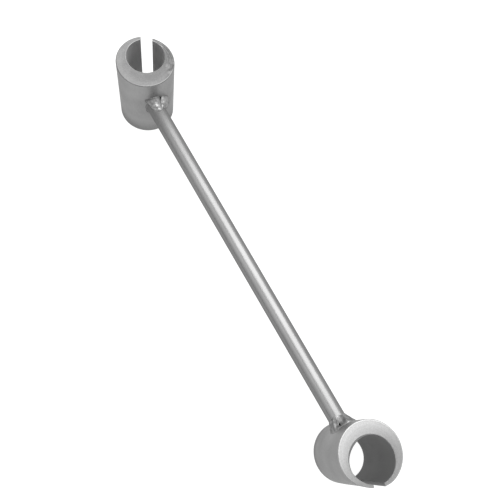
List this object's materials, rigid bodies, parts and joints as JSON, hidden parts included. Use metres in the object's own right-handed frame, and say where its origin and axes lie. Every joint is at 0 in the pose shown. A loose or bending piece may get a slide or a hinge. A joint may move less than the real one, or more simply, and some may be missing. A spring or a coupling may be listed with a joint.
{
  "type": "slotted socket tow link",
  "caption": "Rigid steel tow link: a slim round rod welded between two short slotted sockets of slightly different bore.",
  "frame": {"origin": "midway between the two sockets' axes, on the plane that both sockets' lower end faces lie in", "axes": "+X from the small-bore socket to the big-bore socket, +Z along both bores, upwards"},
  "size_m": [0.318, 0.038, 0.0587],
  "materials": {
    "socket_steel": "satin, turned end faces, dull bores",
    "rod_steel": "bright drawn bar, satin",
    "weld_metal": "as welded, rippled, with shiny crests"
  },
  "bodies": {
    "root": {"small_end_socket": "socket_steel", "big_end_socket": "socket_steel", "link_rod": "rod_steel", "small_end_weld_left": "weld_metal", "small_end_weld_right": "weld_metal", "big_end_weld_left": "weld_metal", "big_end_weld_right": "weld_metal"}
  },
  "joints": []
}
